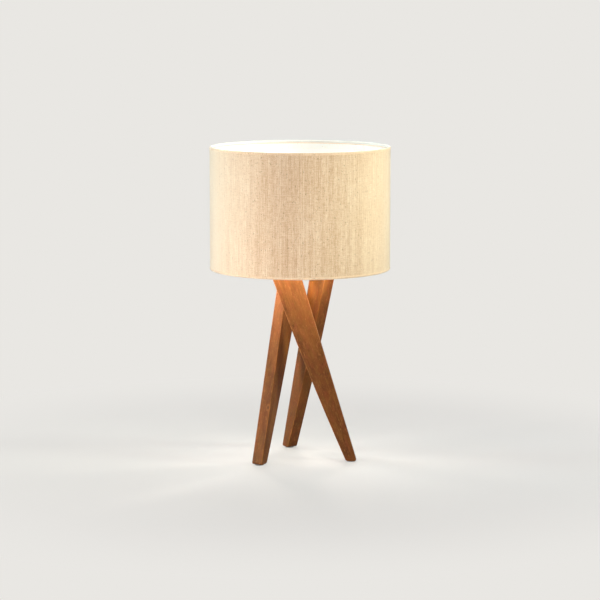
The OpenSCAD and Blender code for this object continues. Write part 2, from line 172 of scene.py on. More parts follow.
# Bulb, from its contact tip upwards.
bulb_z = 373.8
bulb_l = 107.0
bulb_r = 30.0
bulb_pitch = 3.629
bulb_glass_t = 0.8
insulator_z = bulb_z + 1.7
insulator_top_r = 9.5
cap_shell_z = insulator_z + 4.1
cap_shell_top_z = cap_shell_z + 21
cap_cone_h = 1.8
cap_major_r = 13.15
cap_minor_r = 12.15
cap_shell_t = 0.4
neck_z = cap_shell_top_z - 4
neck_r = cap_minor_r - cap_shell_t - 0.2
throat_z = cap_shell_top_z + 0.4
throat_r = 13.2
globe_z = bulb_z + bulb_l - bulb_r
stem_flare_r = 9.0
stem_r = 3.2
stem_top_z = neck_z + 36
filament_count = 4
filament_r = 11.0
filament_z = stem_top_z - 6
filament_l = 34.0
filament_d = 1.8
filament_tilt = 9.0

# ---- mesh helpers


def clamp(value):
    """The value, kept between 0 and 1."""
    return min(1.0, max(0.0, value))


def object_from(bm, name):
    """A new object out of a bmesh, which is freed."""
    mesh = bpy.data.meshes.new(name)
    bm.to_mesh(mesh)
    bm.free()
    return add_object(name, mesh)


def make_object(name, verts, faces, sharp_deg=35):
    """A smooth object out of points in millimetres, its faces turned outwards."""
    mesh = bpy.data.meshes.new(name)
    mesh.from_pydata([(x * MM, y * MM, z * MM) for x, y, z in verts], [], faces)
    bm = bmesh.new()
    bm.from_mesh(mesh)
    bmesh.ops.recalc_face_normals(bm, faces=bm.faces)
    bm.to_mesh(mesh)
    bm.free()
    mesh.shade_smooth()
    mesh.set_sharp_from_angle(angle=radians(sharp_deg))
    return add_object(name, mesh)


def merge_points(obj, reach=1e-6):
    """Merges points that lie within reach metres, such as those on the axis."""
    bm = bmesh.new()
    bm.from_mesh(obj.data)
    bmesh.ops.remove_doubles(bm, verts=bm.verts, dist=reach)
    bmesh.ops.dissolve_degenerate(bm, edges=bm.edges, dist=reach)
    bm.to_mesh(obj.data)
    bm.free()


def joined(name, objects):
    """One smooth object out of several."""
    bm = bmesh.new()
    for part in objects:
        bm.from_mesh(part.data)
        bpy.data.objects.remove(part)
    obj = object_from(bm, name)
    obj.data.shade_smooth()
    return obj


# A corner wider than this, in degrees, stays as it is.
STRAIGHT_DEG = 176


def round_corners(corners, steps=4, closed=True):
    """The outline of (x, y, radius) corners with their arcs; radius 0 keeps a corner."""
    out = []
    count = len(corners)
    for i, (x, y, radius) in enumerate(corners):
        if radius <= 0 or (not closed and i in (0, count - 1)):
            out.append((x, y))
            continue
        corner = Vector((x, y))
        back = Vector(corners[i - 1][:2]) - corner
        ahead = Vector(corners[(i + 1) % count][:2]) - corner
        half = back.angle(ahead) / 2
        if half > radians(STRAIGHT_DEG / 2):
            out.append((x, y))
            continue
        # An arc takes less than half of each side.
        reach = min(radius / tan(half), min(back.length, ahead.length) * 0.49)
        arc_r = reach * tan(half)
        back.normalize()
        ahead.normalize()
        centre = corner + (back + ahead).normalized() * arc_r / sin(half)
        start = corner + back * reach - centre
        end = corner + ahead * reach - centre
        out += [tuple(centre + start.lerp(end, k / steps).normalized() * arc_r)
                for k in range(steps + 1)]
    return out


def refine(points, step, closed=True):
    """The outline with points added so that no stretch is longer than step."""
    out = []
    count = len(points)
    for i in range(count if closed else count - 1):
        p, q = Vector(points[i]), Vector(points[(i + 1) % count])
        parts = max(1, ceil((q - p).length / step))
        out += [tuple(p.lerp(q, k / parts)) for k in range(parts)]
    if not closed:
        out.append(tuple(points[-1]))
    return out


def turned(name, section, turns=96, closed=True, change=None, sharp_deg=35):
    """A section of (radius, height) points turned about the axis.

    change(radius, height, angle) may return a changed (radius, height).
    """
    rows = len(section)
    verts, faces = [], []
    for j in range(turns):
        angle = TAU * j / turns
        for r, z in section:
            if change:
                r, z = change(r, z, angle)
            verts.append((r * cos(angle), r * sin(angle), z))
        here, there = j * rows, (j + 1) % turns * rows
        for i in range(rows if closed else rows - 1):
            n = (i + 1) % rows
            faces.append((here + i, there + i, there + n, here + n))
    obj = make_object(name, verts, faces, sharp_deg)
    if not closed:
        merge_points(obj)
    return obj


def unwrap_turned(obj, section, turns):
    """A UV map in metres for a turned piece: round the axis, and along its closed section."""
    rows = len(section)
    length = [0.0]
    for i in range(1, rows + 1):
        length.append(length[-1] + dist(section[i - 1], section[i % rows]) * MM)
    round_length = TAU * (max(r for r, _ in section) * MM)
    layer = obj.data.uv_layers.new(name="UVMap")
    for face in obj.data.polygons:
        corners = [divmod(obj.data.loops[loop].vertex_index, rows) for loop in face.loop_indices]
        columns, steps = zip(*corners)
        last_column = min(columns) == 0 and max(columns) == turns - 1
        last_step = min(steps) == 0 and max(steps) == rows - 1
        for loop, (column, step) in zip(face.loop_indices, corners):
            column = turns if last_column and column == 0 else column
            step = rows if last_step and step == 0 else step
            layer.data[loop].uv = (round_length * column / turns, length[step])


def thread(z, angle, pitch, low, high, fade):
    """Height, from 0 to 1, of a right-hand thread between two heights, faded out at both ends."""
    wave = 0.5 - 0.5 * cos(TAU * (z / pitch - angle / TAU))
    return wave * min(clamp((z - low) / fade), clamp((high - z) / fade))


# ---- material helpers


def srgb(r, g, b):
    """A colour given as 0 to 255 display values, as the linear colour that shaders take."""
    def linear(c):
        c /= 255
        return c / 12.92 if c <= 0.04045 else ((c + 0.055) / 1.055) ** 2.4
    return (linear(r), linear(g), linear(b), 1.0)


def darker(colour, amount):
    """The colour with amount of its light taken away."""
    return tuple(c * (1 - amount) for c in colour[:3]) + (1.0,)


def add_node(tree, kind, inputs=None, **props):
    """A new shader node, its properties set and its inputs linked or given a value."""
    node = tree.nodes.new(f"ShaderNode{kind}")
    for key, value in props.items():
        setattr(node, key, value)
    for key, value in (inputs or {}).items():
        if isinstance(value, bpy.types.NodeSocket):
            tree.links.new(value, node.inputs[key])
        else:
            node.inputs[key].default_value = value
    return node


class Shader:
    """A material with one Principled shader, and a short way to add nodes."""

    def __init__(self, name, colour, rough, **sockets):
        self.mat = bpy.data.materials.new(name)
        self.mat.use_nodes = True
        self.mat.diffuse_color = colour
        self.tree = self.mat.node_tree
        self.body = self.tree.nodes["Principled BSDF"]
        self.body.inputs["Base Color"].default_value = colour
        self.body.inputs["Roughness"].default_value = rough
        for key, value in sockets.items():
            self.body.inputs[key.replace("_", " ")].default_value = value

    def node(self, kind, inputs=None, **props):
        return add_node(self.tree, kind, inputs, **props)

    def link(self, output, socket_name):
        """Links an output to a socket of the Principled shader."""
        self.tree.links.new(output, self.body.inputs[socket_name])

    def object_coords(self):
        """Places on the object, in metres."""
        return self.node("TexCoord").outputs["Object"]

    def uv_coords(self):
        """Places on the piece's UV map, in metres."""
        return self.node("UVMap", uv_map="UVMap").outputs["UV"]

    def mapped(self, vector, scale=(1, 1, 1), rotation=(0, 0, 0), location=(0, 0, 0)):
        return self.node("Mapping", {
            "Vector": vector, "Scale": scale, "Rotation": rotation, "Location": location,
        }).outputs["Vector"]

    def noise(self, vector, scale=1.0, detail=3.0, rough=0.5, distortion=0.0):
        return self.node("TexNoise", {
            "Vector": vector, "Scale": scale, "Detail": detail,
            "Roughness": rough, "Distortion": distortion,
        }).outputs["Fac"]

    def math(self, operation, a, b=0.0):
        return self.node("Math", {0: a, 1: b}, operation=operation).outputs[0]

    def length(self, vector):
        return self.node("VectorMath", {0: vector}, operation="LENGTH").outputs["Value"]

    def ranged(self, value, low, high, to_low=0.0, to_high=1.0, curve="LINEAR"):
        """The value moved from one range into another, and kept within it."""
        return self.node("MapRange", {
            "Value": value, "From Min": low, "From Max": high,
            "To Min": to_low, "To Max": to_high,
        }, interpolation_type=curve).outputs["Result"]

    def ramp(self, value, stops):
        """A colour from a ramp of (place, colour) stops."""
        ramp = self.node("ValToRGB", {"Fac": value})
        elements = ramp.color_ramp.elements
        while len(elements) < len(stops):
            elements.new(0.5)
        for element, (place, colour) in zip(elements, stops):
            element.position = place
            element.color = colour
        return ramp.outputs["Color"]

    def mix(self, a, b, share):
        """Colour a with a share of b; inputs 6 and 7 and output 2 are the node's colours."""
        return self.node("Mix", {0: share, 6: a, 7: b}, data_type="RGBA").outputs[2]

    def bump(self, height, strength, distance, under=None):
        """A normal that follows a height, in metres of relief, on top of another bump."""
        inputs = {"Height": height, "Strength": strength, "Distance": distance}
        if under:
            inputs["Normal"] = under
        return self.node("Bump", inputs).outputs["Normal"]


def dress(piece, body, slot, node, *finishes):
    """Gives a piece its finishes and its body, and hides the CAD node it replaces; slot is not
    used.
    """
    for finish in finishes:
        piece.data.materials.append(finish.mat)
    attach(piece, body)
    if node:
        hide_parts(node)
    return piece


def finish_nodes(finish, *names):
    """Gives CAD nodes that stay in view their finished material."""
    for name in names:
        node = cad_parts[name]
        node.data.materials.clear()
        node.data.materials.append(finish.mat)


# ---- wood

WOOD_DARK = srgb(80, 44, 18)
WOOD_MID = srgb(110, 64, 28)
WOOD_LIGHT = srgb(139, 86, 40)
WOOD_PALE = srgb(165, 107, 56)
WOOD_PORE = srgb(54, 29, 11)
WOOD_RED = srgb(122, 62, 27)
WOOD_OLIVE = srgb(118, 78, 34)
WOOD_ROSE = srgb(136, 70, 42)
# The mesh attribute that marks the planks' rounded edges, where a pale highlight is painted.
EDGE_HIGHLIGHT_ATTRIBUTE = "arris"

# Cells per metre through, across and along the plank, detail, roughness and distortion.
WOOD_NOISES = {
    "figure": ((26, 30, 5.5), 4, 0.60, 1.0),
    "hue": ((150, 150, 60), 3, 0.60, 0.6),
    "cloud": ((60, 66, 34), 5, 0.65, 0.8),
    "streak": ((420, 450, 34), 4, 0.65, 0.4),
    "fleck": ((560, 600, 190), 2, 0.60, 0.0),
    "pores": ((1500, 1700, 110), 2, 0.60, 0.0),
}
WOOD_FIGURE = ((0.30, WOOD_DARK), (0.50, WOOD_MID), (0.72, WOOD_LIGHT))
# Tints over the figure: the noise, the values where the tint starts and is full, its colour, and
# its full share.
WOOD_TINTS = (
    ("hue", 0.50, 0.34, WOOD_OLIVE, 0.50),
    ("hue", 0.52, 0.68, WOOD_ROSE, 0.50),
    ("cloud", 0.45, 0.70, WOOD_RED, 0.50),
    ("cloud", 0.50, 0.30, WOOD_DARK, 0.26),
    ("rings", 0.40, 1.00, WOOD_DARK, 0.16),
    ("streak", 0.50, 0.70, WOOD_LIGHT, 0.60),
    ("fleck", 0.58, 0.74, WOOD_PALE, 0.60),
    ("pores", 0.56, 0.74, WOOD_PORE, 0.45),
)
# The knot's ring and core: where each starts and is full, in metres from its middle.
KNOT_RING = (0.0052, 0.0036)
KNOT_CORE = (0.0030, 0.0016)
KNOT_WOBBLE = 0.0008


def pin_knot(s, base, place):
    """A small knot in the wood: a dark core with a paler ring, longer along the grain."""
    offset = s.node("VectorMath", {0: s.object_coords(), 1: place}, operation="SUBTRACT")
    away = s.length(s.mapped(offset.outputs["Vector"], (1, 1, 0.62)))
    wobble = s.noise(s.mapped(s.object_coords(), (900, 900, 600)), detail=2)
    away = s.math("ADD", away, s.math("MULTIPLY", wobble, KNOT_WOBBLE))
    base = s.mix(base, WOOD_PALE, s.ranged(away, *KNOT_RING, 0.0, 0.35))
    return s.mix(base, WOOD_PORE, s.ranged(away, *KNOT_CORE, 0.0, 0.60))


def growth_rings(s, along):
    """Saw-shaped bands of the year rings, drawn out along the grain."""
    return s.node("TexWave", {
        "Vector": s.mapped(along, (1, 1, 0.085)), "Scale": 42.0, "Distortion": 6.5,
        "Detail": 3.0, "Detail Scale": 2.2, "Detail Roughness": 0.6,
    }, wave_type="BANDS", bands_direction="DIAGONAL", wave_profile="SAW").outputs["Fac"]


def wood(name, azimuth, lean, seed, knot=None):
    """Oiled hardwood whose grain runs along a plank that leans in the plane facing azimuth."""
    s = Shader(name, WOOD_MID, 0.5, Specular_IOR_Level=0.14)
    flat = s.mapped(s.object_coords(), rotation=(0, 0, radians(-azimuth)))
    along = s.mapped(flat, rotation=(radians(-lean), 0, 0), location=(seed, seed * 2, seed * 3))
    layers = {"rings": growth_rings(s, along)}
    for layer, (cells, *character) in WOOD_NOISES.items():
        layers[layer] = s.noise(s.mapped(along, cells), 1.0, *character)
    base = s.ramp(layers["figure"], WOOD_FIGURE)
    for layer, start, full, colour, share in WOOD_TINTS:
        base = s.mix(base, colour, s.ranged(layers[layer], start, full, 0.0, share))
    edge_mask = s.node("Attribute", attribute_name=EDGE_HIGHLIGHT_ATTRIBUTE).outputs["Fac"]
    # Painted highlight: the rounded edges are lightened towards pale wood, more in some places than
    # others.
    edge_highlight = s.math("MULTIPLY", edge_mask, s.ranged(layers["cloud"], 0.35, 0.65, 0.10, 0.75))
    base = s.mix(base, WOOD_PALE, edge_highlight)
    if knot:
        base = pin_knot(s, base, knot)
    s.link(base, "Base Color")
    s.link(s.ranged(layers["streak"], 0.3, 0.7, 0.46, 0.64), "Roughness")
    relief = s.bump(layers["streak"], 0.3, 0.0004)
    relief = s.bump(layers["rings"], 0.12, 0.0004, relief)
    open_pores = s.ranged(layers["pores"], 0.55, 0.8, 1.0, 0.0)
    s.link(s.bump(open_pores, 0.4, 0.0003, relief), "Normal")
    return s


# ---- cloth

# Dark, middle and light threads.
CLOTH_TONES = (srgb(195, 153, 116), srgb(221, 188, 154), srgb(240, 218, 192))
CLOTH_SPECK = srgb(138, 100, 64)
CLOTH_SHEEN = srgb(255, 254, 246)
CLOTH_GLOW = srgb(255, 222, 176)
LINER_GLOW = srgb(255, 252, 246)
# The flap and the roll's inner half: the cloth in painted lit tones, near white where the bulb's
# light washes it.
LIT_FLAP_TONES = (srgb(224, 221, 212), srgb(234, 232, 226), srgb(241, 240, 236))

# Cells per metre round and up the shade, detail, roughness, distortion, and share in the tone.
CLOTH_NOISES = {
    "long_slub": ((560, 7, 1), 3, 0.60, 0.1, 0.22),
    "short_slub": ((680, 70, 1), 3, 0.60, 0.2, 0.22),
    "broad": ((80, 3.5, 1), 3, 0.55, 0.0, 0.10),
    "weft": ((90, 700, 1), 2, 0.60, 0.0, 0.16),
    "grain": ((900, 700, 1), 2, 0.60, 0.0, 0.24),
    "patch": ((24, 16, 1), 3, 0.50, 0.0, 0.06),
}
# Distances between the threads, in metres.
WARP_PITCH = 0.0011
WEFT_PITCH = 0.0009
# Painted side light: to the left and the right the cloth is washed paler and its slubs fade, where
# light falls on the shade's sides: arc lengths from the seam, in metres, between which the slubs
# fade and return, and the share of them that is left.
SIDE_LIGHT_STRETCHES = (((0.05, 0.20, 0.29, 0.42), 0.62), ((0.54, 0.66, 0.76, 0.90), 0.80))
# How strongly the painted side light washes the cloth towards its light tone.
SIDE_LIGHT_WASH = 1.05


def side_light_slub_strength(s, along):
    """How strongly the slubs show: fully at the front and the back, and less at the two sides,
    where painted side light washes them out.
    """
    strength = 1.0
    for (fade_from, fade_to, return_from, return_to), least in SIDE_LIGHT_STRETCHES:
        fading = s.ranged(along, fade_from, fade_to, 1.0, least)
        returning = s.ranged(along, return_from, return_to, least, 1.0)
        strength = s.math("MULTIPLY", strength, s.math("MAXIMUM", fading, returning))
    return strength


def cloth(name, glow, tones=CLOTH_TONES, glow_colour=CLOTH_GLOW):
    """Natural woven cloth with vertical slubs and painted side light, drawn on (arc length, height)
    in metres.
    """
    dark, mid, light = tones
    s = Shader(name, mid, 0.85, Specular_IOR_Level=0.15, Sheen_Weight=0.9, Sheen_Roughness=0.5,
               Sheen_Tint=CLOTH_SHEEN, Emission_Color=glow_colour, Emission_Strength=glow)
    uv = s.uv_coords()
    place = s.node("SeparateXYZ", {"Vector": uv}).outputs
    layers = {}
    tone = 0.0
    for layer, (cells, *character, share) in CLOTH_NOISES.items():
        layers[layer] = s.noise(s.mapped(uv, cells), 1.0, *character)
        tone = s.math("ADD", tone, s.math("MULTIPLY", layers[layer], share))
    busy = side_light_slub_strength(s, place["X"])
    tone = s.math("ADD", s.math("MULTIPLY", s.math("SUBTRACT", tone, 0.5), busy), 0.5)
    base = s.ramp(tone, ((0.41, dark), (0.50, mid), (0.59, light)))
    speck = s.noise(s.mapped(uv, (420, 230, 1)), detail=1, rough=0.4)
    base = s.mix(base, CLOTH_SPECK, s.ranged(speck, 0.66, 0.74, 0.0, 0.6))
    # Painted side light: the two sides are washed towards the light tone.
    base = s.mix(base, light, s.math("MULTIPLY", s.math("SUBTRACT", 1.0, busy), SIDE_LIGHT_WASH))
    s.link(base, "Base Color")
    warp = s.math("SINE", s.math("MULTIPLY", place["X"], TAU / WARP_PITCH))
    weft = s.math("SINE", s.math("MULTIPLY", place["Y"], TAU / WEFT_PITCH))
    slubs = s.bump(tone, 0.5, 0.0010)
    s.link(s.bump(s.math("MULTIPLY", warp, weft), 0.25, 0.0002, slubs), "Normal")
    s.link(s.ranged(layers["grain"], 0.3, 0.7, 0.78, 0.95), "Roughness")
    return s


# ---- other materials

# Marks per metre on turned or drawn metal, much finer up it than round it.
METAL_MARKS = (120, 120, 3600)


def moulded(name, colour, rough, mottle, grain=1500.0, dent=0.0001):
    """Moulded or sprayed surface: a faint change of tone and gloss, and a fine grain."""
    s = Shader(name, colour, rough)
    coords = s.object_coords()
    soft = s.noise(coords, 40.0, 3)
    s.link(s.ramp(soft, ((0.3, darker(colour, mottle)), (0.7, colour))), "Base Color")
    s.link(s.ranged(soft, 0.3, 0.7, rough * 0.85, min(1.0, rough * 1.15)), "Roughness")
    s.link(s.bump(s.noise(coords, grain, 2), 0.25, dent), "Normal")
    return s


def metal(name, colour, rough, tarnish=0.15):
    """Turned or drawn metal with fine marks and slightly tarnished patches."""
    s = Shader(name, colour, rough, Metallic=1.0)
    coords = s.object_coords()
    soft = s.noise(coords, 70.0, 4)
    marks = s.noise(s.mapped(coords, METAL_MARKS), detail=3)
    s.link(s.ramp(soft, ((0.3, darker(colour, tarnish)), (0.65, colour))), "Base Color")
    s.link(s.ranged(marks, 0.3, 0.7, rough * 0.7, rough * 1.3), "Roughness")
    s.link(s.bump(marks, 0.15, 0.00005), "Normal")
    return s


def felt(name):
    """Pressed felt, with its tangled hair as speckle and relief."""
    s = Shader(name, srgb(72, 60, 50), 1.0, Sheen_Weight=0.9, Sheen_Roughness=0.6)
    hair = s.noise(s.object_coords(), 2600.0, 4, 0.7, 1.5)
    s.link(s.ramp(hair, ((0.3, srgb(46, 38, 32)), (0.7, srgb(96, 82, 70)))), "Base Color")
    s.link(s.bump(hair, 0.9, 0.0006), "Normal")
    return s


def lining(name):
    """Smooth white film inside the shade, lit from within by the bulb."""
    s = Shader(name, srgb(244, 243, 240), 0.5, Emission_Color=LINER_GLOW, Emission_Strength=0.24)
    coords = s.object_coords()
    soft = s.noise(coords, 14.0, 3)
    s.link(s.ramp(soft, ((0.3, srgb(240, 238, 234)), (0.7, srgb(246, 245, 243)))), "Base Color")
    s.link(s.bump(s.noise(coords, 60.0, 2), 0.1, 0.0004), "Normal")
    return s


def light_stick(name):
    """Phosphor-coated filament, lit."""
    s = Shader(name, srgb(255, 196, 96), 0.6, Emission_Strength=2.5,
               Emission_Color=srgb(255, 206, 132))
    dots = s.noise(s.object_coords(), 900.0, 2)
    s.link(s.ramp(dots, ((0.35, srgb(244, 170, 70)), (0.65, srgb(255, 214, 130)))), "Base Color")
    return s


WHITE_PLASTIC = moulded("white_plastic", srgb(232, 229, 220), 0.42, 0.05)
BLACK_PLASTIC = moulded("black_plastic", srgb(34, 33, 33), 0.5, 0.3)
CERAMIC = moulded("pressed_insert", srgb(236, 231, 220), 0.7, 0.08, 2500.0, 0.0002)
ZINC = metal("zinc_steel", srgb(196, 193, 184), 0.34)
BRASS = metal("machined_brass", srgb(208, 172, 104), 0.3)
SHELL_METAL = metal("rolled_shell", srgb(214, 213, 216), 0.26)
SOLDER = metal("soft_solder", srgb(178, 178, 182), 0.5, 0.25)
WIRE_PAINT = moulded("white_powder_coat", srgb(236, 233, 225), 0.38, 0.04, 4500.0)
BLACK_GLASS = moulded("black_glass", srgb(26, 25, 30), 0.15, 0.2)
FELT = felt("pressed_felt")
# The cloth, the hems, the flap and the lining glow: painted light from the bulb inside. The hems
# glow more, a painted bright line along the rims.
SHADE_CLOTH = cloth("shade_cloth_weave", 0.06)
HEM_CLOTH = cloth("hem_cloth_weave", 0.14)
LIT_FLAP_CLOTH = cloth("hem_flap_cloth_lit", 0.20, LIT_FLAP_TONES, LINER_GLOW)
LINER = lining("white_lining")
CLEAR = Shader("bulb_clear_glass", srgb(252, 250, 246), 0.02, IOR=1.45, Transmission_Weight=1.0,
               Specular_IOR_Level=0.5)
STICK = light_stick("filament_coating")

# ---- legs

LEG_EDGE_R = 1.2
EDGE_STEPS = 4
FOOT_INNER_R = 3.0
FOOT_OUTER_R = 5.0
TOP_CORNER_R = 1.8
BELLY_STEPS = 40
OUTLINE_STEP = 7.0
HOLE_CHAMFER = 0.25
HOLE_DEPTH = 6.0
HOLE_SIDES = 28


def leg_edge_y(z, side):
    """The plank's inner (+1) or outer (-1) edge at a height, as if both were straight."""
    lean = radians(leg_lean)
    width = leg_foot_w + (leg_top_w - leg_foot_w) * z / leg_width_z
    return leg_foot_y - tan(lean) * z + side * width / cos(lean) / 2


def belly_y(z):
    """The swelling outer edge: one arc through the plank's lower and upper outer corners."""
    low = Vector((leg_edge_y(0, -1), 0))
    high = Vector((leg_edge_y(leg_top_z, -1), leg_top_z))
    chord = (high - low).length
    arc_r = chord * chord / (8 * leg_belly) + leg_belly / 2
    along = (high - low).normalized()
    centre = (low + high) / 2 + Vector((along.y, -along.x)) * (arc_r - leg_belly)
    return centre.x - sqrt(arc_r ** 2 - (z - centre.y) ** 2)


def plank_outline():
    """The plank's broad face as (y, z) points, anticlockwise, with its corners rounded."""
    corners = [(leg_edge_y(pad_t, 1), pad_t, FOOT_INNER_R),
               (leg_edge_y(leg_top_z, 1), leg_top_z, TOP_CORNER_R)]
    for k in range(BELLY_STEPS + 1):
        z = leg_top_z + (pad_t - leg_top_z) * k / BELLY_STEPS
        radius = {0: TOP_CORNER_R, BELLY_STEPS: FOOT_OUTER_R}.get(k, 0)
        corners.append((belly_y(z), z, radius))
    return refine(round_corners(corners, 6), OUTLINE_STEP)


def inset(points, amount):
    """The closed, anticlockwise outline moved inwards by amount."""
    out = []
    count = len(points)
    for i, p in enumerate(points):
        a = (Vector(p) - Vector(points[i - 1])).normalized()
        b = (Vector(points[(i + 1) % count]) - Vector(p)).normalized()
        na, nb = Vector((-a.y, a.x)), Vector((-b.y, b.x))
        n = (na + nb).normalized()
        out.append(tuple(Vector(p) + n * amount / max(0.5, n.dot(na))))
    return out


def plank_layers():
    """The plank's layers from its inner to its outer face, as (x, inset of the outline)."""
    inner_x = leg_offset - leg_t / 2
    layers = []
    for k in range(EDGE_STEPS, -1, -1):
        turn = pi / 2 * k / EDGE_STEPS
        layers.append((inner_x + LEG_EDGE_R * (1 - sin(turn)), LEG_EDGE_R * (1 - cos(turn))))
    return layers + [(inner_x + leg_t - (x - inner_x), shrink) for x, shrink in reversed(layers)]


def screw_hole(y, z):
    """Rings of a countersunk screw hole from the outer face inwards, as (depth, points)."""
    head_r = screw_head_d / 2 + screw_play
    shank_r = screw_d / 2 + screw_play
    rings = ((0.0, head_r + HOLE_CHAMFER), (HOLE_CHAMFER, head_r),
             (HOLE_CHAMFER + screw_head_h, shank_r), (HOLE_DEPTH, shank_r))
    turns = [TAU * k / HOLE_SIDES for k in range(HOLE_SIDES)]
    return [(depth, [(y + r * cos(a), z + r * sin(a)) for a in turns]) for depth, r in rings]


def sleeve(first, second, count):
    """Faces between two closed rings of count points, given by the index of each one's start."""
    faces = []
    for i in range(count):
        n = (i + 1) % count
        faces.append((first + i, first + n, second + n, second + i))
    return faces


def make_plank(name, azimuth):
    """One leg: a leaning plank with rounded edges and two countersunk holes in its outer face."""
    outline = plank_outline()
    count = len(outline)
    layers = plank_layers()
    verts, faces = [], []
    for x, shrink in layers:
        verts += [(x, y, z) for y, z in inset(outline, shrink)]
    top = (len(layers) - 1) * count
    for start in range(0, top, count):
        faces += sleeve(start, start + count, count)
    faces.append(tuple(reversed(range(count))))
    # The outer face is cut into triangles round the holes.
    rims = [[Vector((y, z, 0)) for _, y, z in verts[top:]]]
    index = list(range(top, top + count))
    for place in screw_yz:
        starts = []
        for depth, ring in screw_hole(*place):
            starts.append(len(verts))
            verts += [(layers[-1][0] - depth, y, z) for y, z in ring]
        rims.append([Vector((y, z, 0)) for _, y, z in verts[starts[0]:starts[1]]])
        index += range(starts[0], starts[1])
        for near, far in zip(starts, starts[1:]):
            faces += sleeve(near, far, HOLE_SIDES)
        faces.append(tuple(range(starts[-1], len(verts))))
    faces += [tuple(index[k] for k in tri) for tri in tessellate_polygon(rims)]
    turn = Matrix.Rotation(radians(azimuth), 4, "Z")
    plank = make_object(name, [tuple(turn @ Vector(v)) for v in verts], faces, sharp_deg=30)
    edge_mask = plank.data.attributes.new(EDGE_HIGHLIGHT_ATTRIBUTE, "FLOAT", "POINT").data
    for j, (_, shrink) in enumerate(layers):
        for i in range(count):
            edge_mask[j * count + i].value = float(0 < j < len(layers) - 1 and shrink > 0)
    return plank


# Each leg, where in the wood it is cut from, and its knot in metres: one shows, small and low on
# the left leg's narrow outer face.
LEGS = (
    ("leg_front", 0.37, None),
    ("leg_left", 1.91, (-0.0529, -0.0466, 0.0938)),
    ("leg_rear", 3.13, None),
)
for (leg, seed, knot), azimuth in zip(LEGS, leg_angles):
    leg_wood = wood(f"{leg}_wood", azimuth, leg_lean, seed, knot)
    dress(make_plank(f"{leg}_plank", azimuth), "base", "wood", leg, leg_wood)

finish_nodes(wood("centre_block_wood", leg_angles[0], 90.0, 5.2), "centre_block")
finish_nodes(FELT, "foot_pads")
finish_nodes(ZINC, "leg_screws")

# ---- lampholder

TUBE_PITCH = 1.0
THREAD_H = 0.45
COLLAR_GRIPS = 60
COLLAR_GRIP_DEPTH = 0.35
RING_GRIP_DEPTH = 0.8


def make_threaded_tube():
    """The tube through the block, threaded from end to end."""
    section = refine([(tube_r, tube_bottom_z), (tube_r, tube_top_z)], TUBE_PITCH / 6, closed=False)
    section += [(tube_bore_r, tube_top_z), (tube_bore_r, tube_bottom_z)]

    def cut(r, z, angle):
        if r < tube_r:
            return r, z
        crest = thread(z, angle, TUBE_PITCH, tube_bottom_z, tube_top_z, 1.0)
        return r - THREAD_H * (1 - crest), z

    return turned("threaded_tube_cut", section, 48, change=cut, sharp_deg=60)


def make_holder_cap():
    """The cap on the tube: a neck, a rounded shoulder and a thin side wall."""
    bore_r, inner_r = tube_r + gap, holder_r - cap_wall
    shoulder_z = cap_z + cap_shoulder_h
    floor_z = cap_z + cap_neck_h + 2.5
    corners = [
        (bore_r, cap_z, 0.3), (cap_neck_r, cap_z, 0.8), (cap_neck_r, cap_z + cap_neck_h, 2.0),
        (holder_r, shoulder_z, 3.0), (holder_r, cap_top_z, 0.6), (inner_r, cap_top_z, 0.3),
        (inner_r, shoulder_z + 1, 0.5), (cap_neck_r, floor_z, 0.5), (bore_r, floor_z, 0.2),
    ]
    return turned("holder_cap_turned", round_corners(corners))


def make_holder_skirt():
    """The outer skirt: a ribbed collar on the cap and a threaded sleeve for the shade's rings."""
    collar_z = cap_top_z + skirt_collar_h
    foot_z, seat_z = cap_top_z + gap, insert_top_z + gap
    corners = [
        (skirt_seat_r, skirt_z, 0.2), (skirt_join_r, skirt_z, 0.2), (skirt_join_r, foot_z, 0.1),
        (holder_r, foot_z, 0.6), (holder_r, collar_z, 0.8), (skirt_core_r, collar_z, 0.3),
        (skirt_core_r, skirt_top_z, 0.5), (skirt_bore_r, skirt_top_z, 0.5),
        (skirt_bore_r, seat_z, 0.2), (skirt_seat_r, seat_z, 0.1),
    ]
    section = refine(round_corners(corners, 3), skirt_pitch / 10)

    def cut(r, z, angle):
        if abs(r - holder_r) < 0.01:
            rib = (0.5 + 0.5 * cos(angle * COLLAR_GRIPS)) ** 2
            return r - COLLAR_GRIP_DEPTH * rib, z
        if abs(r - skirt_core_r) > 0.01:
            return r, z
        rise = thread(z, angle, skirt_pitch, collar_z + 1, skirt_top_z - 1, 1.5)
        return r + (skirt_ridge_r - skirt_core_r) * rise, z

    return turned("holder_skirt_threaded", section, 120, change=cut, sharp_deg=50)


def make_shell():
    """The screw shell: thin sheet rolled into the bulb's thread."""
    low, high = shell_z, shell_z + shell_h
    outer_r = shell_bore_r + shell_wall
    outside = refine([(outer_r, low), (outer_r, high)], bulb_pitch / 10, closed=False)
    section = outside + [(r - shell_wall, z) for r, z in reversed(outside)]

    def roll(r, z, angle):
        rise = thread(z, angle, bulb_pitch, low + 1, high - 1, 2.0)
        return r + THREAD_H * (1 - rise), z

    return turned("holder_shell_rolled", section, 72, change=roll, sharp_deg=60)


def make_grip_ring(name, low, collar_h, flange_at_top):
    """A shade ring: a flange that bears on the fitting and a notched collar to turn it by."""
    height = collar_h + ring_flange_t
    corners = [
        (ring_bore_r, 0, 0.3), (shade_ring_r, 0, 0.6), (shade_ring_r, ring_flange_t, 0.6),
        (ring_collar_r, ring_flange_t, 0.8), (ring_collar_r, height, 1.0),
        (ring_bore_r, height, 0.6),
    ]
    section = refine(round_corners(corners, 3), 1.2)
    if flange_at_top:
        section = [(r, height - z) for r, z in section]
    section = [(r, z + low) for r, z in section]
    flange_low = low + (collar_h if flange_at_top else 0)

    def grip(r, z, angle):
        on_flange = flange_low - 0.3 <= z <= flange_low + ring_flange_t + 0.3
        if on_flange or r <= ring_collar_r - 0.9:
            return r, z
        notch = (0.5 + 0.5 * cos(angle * grip_count)) ** 4
        return r - RING_GRIP_DEPTH * notch, z

    return turned(name, section, 192, change=grip, sharp_deg=45)


